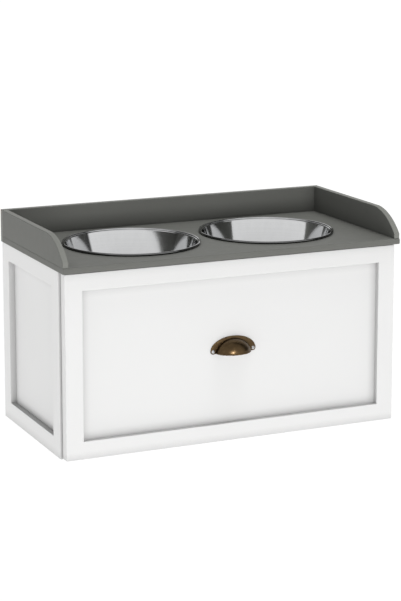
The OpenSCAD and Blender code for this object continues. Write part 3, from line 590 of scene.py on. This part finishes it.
def makeSideFrame(side):
    nodes = [side + "_" + part for part in ("front_stile", "back_stile", "top_strip", "foot_strip")]
    low, high = boxOf(nodes)
    front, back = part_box(nodes[0])[1].y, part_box(nodes[1])[0].y
    head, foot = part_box(nodes[2])[0].z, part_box(nodes[3])[1].z
    width = front - low.y
    piece = addBlock(side + "Frame", low, high)
    startEdit(piece)
    insetFrame(piece, lambda face: abs(face.normal.x) > facing, width, low, high, head, foot)
    selectFaces(piece, lambda face: abs(face.normal.x) > facing and all(
        low.y + width / 2 < vert.co.y < high.y - width / 2 for vert in face.verts))
    bpy.ops.mesh.bridge_edge_loops()
    outerX = low.x if side == "left" else high.x
    selectEdges(piece, lambda edge: bothAt(edge, "x", outerX) and (
        atAny(edge, "y", (low.y, high.y, front, back)) or atAny(edge, "z", (low.z, high.z, head, foot))))
    bevelPicked(sideSizes["ease"], sideSizes["steps"])
    tidyNormals()
    return finishPiece(piece, white, "cabinet", nodes)


for side in sides:
    makeSideFrame(side)
print("side frames done")

# Inner boards, eased along their outer edges
innerSizes = {"ease": 0.0008, "steps": 2}
innerBoards = {
    "drawer": ["box_front", "box_back", "box_left_side", "box_right_side"],
    "cabinet": ["left_side_panel", "right_side_panel", "front_stretcher", "back_stretcher"],
}


for body, nodes in innerBoards.items():
    for node in nodes:
        low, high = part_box(node)
        innerBoard = easedCopy(node, innerSizes["ease"], innerSizes["steps"],
                               lambda edge: onOutline(edge, low, high))
        finish = "white_paint" if node.endswith("side_panel") else "inner_white"
        finishPiece(innerBoard, finishes[finish], body, [node])
for node in ("drawer_base", "cabinet_floor"):
    frame["nodes"][node].material_slots[0].material = finishes["inner_white"]
print("inner boards done")

# Bowls: a spun sheet with a hollow rolled rim
bowlSizes = {
    "wall": 0.0008, "bead": 0.002, "beadEnd": -122, "shoulder": 0.0022, "floorRadius": 0.0765, "corner": 0.02,
    "turns": 144, "cornerSteps": 14, "shoulderSteps": (10, 8), "beadSteps": (34, 30), "crisp": 40,
    # a ring pressed up from the floor: how far each point is past the ring's start, and its share of the rise
    "ring": 0.056, "ringRise": 0.0006,
    "ringLine": ((-0.012, 0), (-0.003, 0.3), (0, 1), (0.006, 1), (0.009, 0.3), (0.014, 0)),
}


def ovalPoints(centre, halfWidth, height, start, end, steps):
    turns = [math.radians(start + (end - start) * i / steps) for i in range(steps + 1)]
    return [(centre[0] + halfWidth * math.cos(t), centre[1] + height * math.sin(t)) for t in turns]


def arcPoints(centre, radius, start, end, steps):
    return ovalPoints(centre, radius, radius, start, end, steps)


def makeBowl(side):
    low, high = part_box(side + "_bowl")
    middle = bowlMiddles[side]
    wall, bead, corner, shoulder = (bowlSizes[part] for part in ("wall", "bead", "corner", "shoulder"))
    rimRadius = (high.x - low.x) / 2
    rim = (rimRadius - bead, high.z - bead)
    floorZ = low.z + wall
    turn = (bowlSizes["floorRadius"], floorZ + corner)
    bend = (rimRadius - 2 * bead, rim[1] - shoulder)
    away = Vector((bend[0] - shoulder - turn[0], bend[1] - turn[1]))
    flare = math.degrees(math.atan2(away.y, away.x) - math.acos(corner / away.length))
    ring, rise, beadEnd = bowlSizes["ring"], bowlSizes["ringRise"], bowlSizes["beadEnd"]
    cornerSteps, (bendIn, bendOut) = bowlSizes["cornerSteps"], bowlSizes["shoulderSteps"]
    beadOut, beadIn = bowlSizes["beadSteps"]
    inside = [(0, floorZ)] + [(ring + past, floorZ + rise * share) for past, share in bowlSizes["ringLine"]]
    ringEnd = inside[-1][0]
    inside += arcPoints(turn, corner, -90, flare, cornerSteps) + arcPoints(bend, shoulder, 180, 90, bendIn)[:-1]
    over = arcPoints(rim, bead, 180, beadEnd, beadOut)
    under = arcPoints(rim, bead - wall, beadEnd, 180, beadIn) + arcPoints(bend, shoulder - wall, 90, 180, bendOut)
    outside = arcPoints(turn, corner + wall, flare, -90, cornerSteps)
    outside += [(ringEnd, low.z), (ring, low.z), (0, low.z)]
    line = inside + over + under + outside
    piece = drawLine(side + "Bowl", [(middle.x + r, middle.y, z) for r, z in line])
    selectAll()
    bpy.ops.mesh.spin(steps=bowlSizes["turns"], angle=2 * math.pi, center=(middle.x, middle.y, 0),
                      axis=(0, 0, 1))
    tidyNormals(coarseWeld)
    return finishPiece(piece, bowlFinishes[side], side + "_bowl", [side + "_bowl"],
                       bowlSizes["crisp"])


for side in sides:
    makeBowl(side)
print("bowls done")

# Cup pull: a flange with two ears, a quarter shell spun from half an oval, and a rounded lip round the mouth
pullSizes = {
    "earRadius": 0.0047, "earRise": 0.004, "earTurn": 110, "earSteps": 14, "halfCup": 0.0305, "cup": 0.0235,
    "wall": 0.0014, "lipOut": 0.0007, "lipHeight": 0.0022, "flange": 0.0015, "cupInset": 0.0003,
    "steps": 48, "cupSteps": 30, "edge": 0.0006, "edgeSteps": 3, "crisp": 30,
}


def makePull():
    low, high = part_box("cup_pull")
    size = pullSizes
    panelY, steps = high.y, size["steps"]
    mouth = low.z + size["earRadius"] - size["earRise"]
    earX = high.x - size["earRadius"]
    earZ = mouth + size["earRise"]
    hollow = (size["halfCup"] - size["wall"], size["cup"] - size["wall"])
    # Flange: over the top from ear to ear, then back along the cup's inside
    outline = arcPoints((earX, earZ), size["earRadius"], -size["earTurn"], 0, size["earSteps"])
    outline += ovalPoints((0, earZ), high.x, high.z - earZ, 0, 180, 2 * steps)[1:-1]
    outline += arcPoints((-earX, earZ), size["earRadius"], 180, 180 + size["earTurn"], size["earSteps"])
    outline += ovalPoints((0, mouth), *hollow, 180, 0, steps)
    flange = drawLine("pullFlange", [(x, panelY, z) for x, z in outline], closed=True)
    selectAll()
    extrudeBy((0, -size["flange"], 0))
    turnOutward()
    selectEdges(flange, lambda edge: bothAt(edge, "y", panelY - size["flange"]))
    bevelPicked(size["edge"], size["edgeSteps"])
    endEdit()
    # Cup, which starts a little way inside the flange
    section = ovalPoints((0, mouth), size["halfCup"], size["cup"], 0, 180, steps)
    section += ovalPoints((0, mouth), *hollow, 180, 0, steps)
    cup = drawLine("pullCup", [(x, panelY - size["cupInset"], z) for x, z in section], closed=True)
    selectAll()
    bpy.ops.mesh.spin(steps=size["cupSteps"], angle=-math.pi / 2, center=(0, panelY, mouth), axis=(1, 0, 0))
    tidyNormals(coarseWeld)
    # Lip
    lipEdge = (size["halfCup"] + size["lipOut"], size["cup"] + size["lipOut"])
    section = ovalPoints((0, panelY), *lipEdge, 180, 360, steps)
    section += ovalPoints((0, panelY), *hollow, 360, 180, steps)
    lip = drawLine("pullLip", [(x, y, mouth) for x, y in section], closed=True)
    selectAll()
    extrudeBy((0, 0, size["lipHeight"]))
    turnOutward()
    selectEdges(lip, lambda edge: atAny(edge, "z", (mouth, mouth + size["lipHeight"])))
    bevelPicked(size["edge"], size["edgeSteps"])
    endEdit()
    bpy.ops.object.select_all(action="DESELECT")
    for part in (flange, cup, lip):
        part.select_set(True)
    bpy.context.view_layer.objects.active = flange
    bpy.ops.object.join()
    flange.name = "cupPull"
    return finishPiece(flange, finishes["aged_bronze"], "drawer", ["cup_pull"], size["crisp"])


pull = makePull()
print("cup pull done")

# Floor, light and camera
stageSizes = {
    "floorSize": 60, "floorTone": 0.7, "floorGlow": 1.1, "floorWash": 0.92,
    "skyTones": ((0.1, 1.0), (0.9, 0.7)), "skyFill": 0.24, "skyGloss": 0.95,
    # flags: pairs of a place and its tone; the near flag goes by how far back and up a ray points
    "flagTurn": -24.4, "sideFlag": ((0.46, 1.0), (0.48, 0.06), (0.85, 0.06), (0.89, 1.0)),
    "nearFlag": ((-0.92, 0.06), (-0.78, 1.0)), "backShare": 0.8,
    "lampTarget": (0, 0, 0.2),
    "softboxes": {   # place, width, height, power, and whether it shows in reflections
        "front": ((-0.55, -3.3, 0.16), 2.2, 0.5, 47, False),
        "backLeft": ((-3.2, 1.4, 0.26), 2.2, 0.5, 19.5, False),
        "overhead": ((0.3, -0.2, 2.5), 1.2, 1.2, 34, False),
        "sparkle": ((-0.25, -3.3, 0.6), 0.4, 0.4, 40, True),
    },
}
bpy.ops.object.select_all(action="DESELECT")
bpy.ops.mesh.primitive_plane_add(size=stageSizes["floorSize"], location=(0, 0, 0))
floor = bpy.context.object
floor.name = "floor"
paper = bpy.data.materials.new("paleFloor")
paper.use_nodes = True
paperTree = paper.node_tree
paperShader = paperTree.nodes["Principled BSDF"]
paperShader.inputs["Base Color"].default_value = (*[stageSizes["floorTone"]] * 3, 1)
paperShader.inputs["Roughness"].default_value = 0.9
paperShader.inputs["Specular IOR Level"].default_value = 0.1
glow = paperTree.nodes.new("ShaderNodeEmission")
glow.inputs["Strength"].default_value = stageSizes["floorGlow"]
mixed = paperTree.nodes.new("ShaderNodeMixShader")
mixed.inputs[0].default_value = stageSizes["floorWash"]
paperTree.links.new(paperShader.outputs[0], mixed.inputs[1])
paperTree.links.new(glow.outputs[0], mixed.inputs[2])
paperTree.links.new(mixed.outputs[0], paperTree.nodes["Material Output"].inputs["Surface"])
floor.data.materials.append(paper)

# The backdrop is white to the camera and a weak fill light; reflections see a dark flag at either side and one
# behind the camera
world = bpy.data.worlds.new("studio")
bpy.context.scene.world = world
world.use_nodes = True
sky = world.node_tree
background = sky.nodes["Background"]
background.inputs["Color"].default_value = (1, 1, 1, 1)
direction = sky.nodes.new("ShaderNodeTexCoord")
turned = sky.nodes.new("ShaderNodeMapping")
turned.vector_type = "VECTOR"
turned.inputs["Rotation"].default_value = (0, 0, -math.radians(stageSizes["flagTurn"]))
sky.links.new(direction.outputs["Generated"], turned.inputs["Vector"])
split = sky.nodes.new("ShaderNodeSeparateXYZ")
sky.links.new(turned.outputs["Vector"], split.inputs[0])


def addSkyRamp(value, tones):
    ramp = sky.nodes.new("ShaderNodeValToRGB")
    for spare in tones[2:]:
        ramp.color_ramp.elements.new(spare[0])
    for element, (position, tone) in zip(ramp.color_ramp.elements, tones):
        element.position = position
        element.color = (tone, tone, tone, 1)
    sky.links.new(value, ramp.inputs[0])
    return ramp.outputs[0]


skyTone = addSkyRamp(split.outputs["Z"], stageSizes["skyTones"])
toBack = addMath(sky, "ARCTAN2", split.outputs["Y"], addMath(sky, "ABSOLUTE", split.outputs["X"]))
sideFlag = addSkyRamp(addMath(sky, "MULTIPLY_ADD", toBack, 1 / math.pi, 0.5), stageSizes["sideFlag"])
backAndUp = addMath(sky, "MULTIPLY_ADD", split.outputs["Y"], stageSizes["backShare"], split.outputs["Z"])
(nearEnd, nearTone), (nearStart, openTone) = stageSizes["nearFlag"]
pastEnd = addMath(sky, "SUBTRACT", backAndUp, nearEnd)
nearFlag = addMath(sky, "MULTIPLY_ADD", pastEnd, 1 / (nearStart - nearEnd), nearTone)
nearLimit = sky.nodes.new("ShaderNodeClamp")
nearLimit.inputs["Min"].default_value = nearTone
nearLimit.inputs["Max"].default_value = openTone
sky.links.new(nearFlag, nearLimit.inputs["Value"])
flags = addMath(sky, "MULTIPLY", sideFlag, nearLimit.outputs[0])
rays = sky.nodes.new("ShaderNodeLightPath")
glossy = rays.outputs["Is Glossy Ray"]
glossLevel = addMath(sky, "MULTIPLY", flags, stageSizes["skyGloss"])
level = addMath(sky, "MULTIPLY_ADD", addMath(sky, "SUBTRACT", glossLevel, stageSizes["skyFill"]), glossy,
                stageSizes["skyFill"])
toned = addMath(sky, "MULTIPLY", skyTone, level)
seen = addMath(sky, "MAXIMUM", toned, rays.outputs["Is Camera Ray"])
sky.links.new(seen, background.inputs["Strength"])


def addSoftbox(name, location, target, width, height, power, mirrored):
    bpy.ops.object.select_all(action="DESELECT")
    bpy.ops.object.light_add(type="AREA", location=location)
    lamp = bpy.context.object
    lamp.name = name
    lamp.data.shape = "RECTANGLE"
    lamp.data.size = width
    lamp.data.size_y = height
    lamp.data.energy = power
    lamp.visible_glossy = mirrored
    lamp.rotation_euler = (Vector(target) - Vector(location)).to_track_quat("-Z", "Y").to_euler()
    return lamp


for name, (location, width, height, power, mirrored) in stageSizes["softboxes"].items():
    lamp = addSoftbox(name, location, stageSizes["lampTarget"], width, height, power, mirrored)
    if name == "sparkle":   # this one is for the pull alone
        pullOnly = bpy.data.collections.new("pullOnly")
        pullOnly.objects.link(pull)
        lamp.light_linking.receiver_collection = pullOnly

cameraSizes = {"place": (-1.3124, -2.89635, 0.9312), "tilt": 79.83, "turn": -24.38, "lens": 115.607,
               "film": 36, "shift": -0.15, "sight": 200}
bpy.ops.object.camera_add(location=cameraSizes["place"], rotation=(
    math.radians(cameraSizes["tilt"]), 0, math.radians(cameraSizes["turn"])))
camera = bpy.context.object
camera.data.lens = cameraSizes["lens"]
camera.data.sensor_width = cameraSizes["film"]
camera.data.shift_y = cameraSizes["shift"]
camera.data.clip_end = cameraSizes["sight"]
bpy.context.scene.camera = camera
bpy.context.scene.view_settings.view_transform = "Standard"
print("stage done")
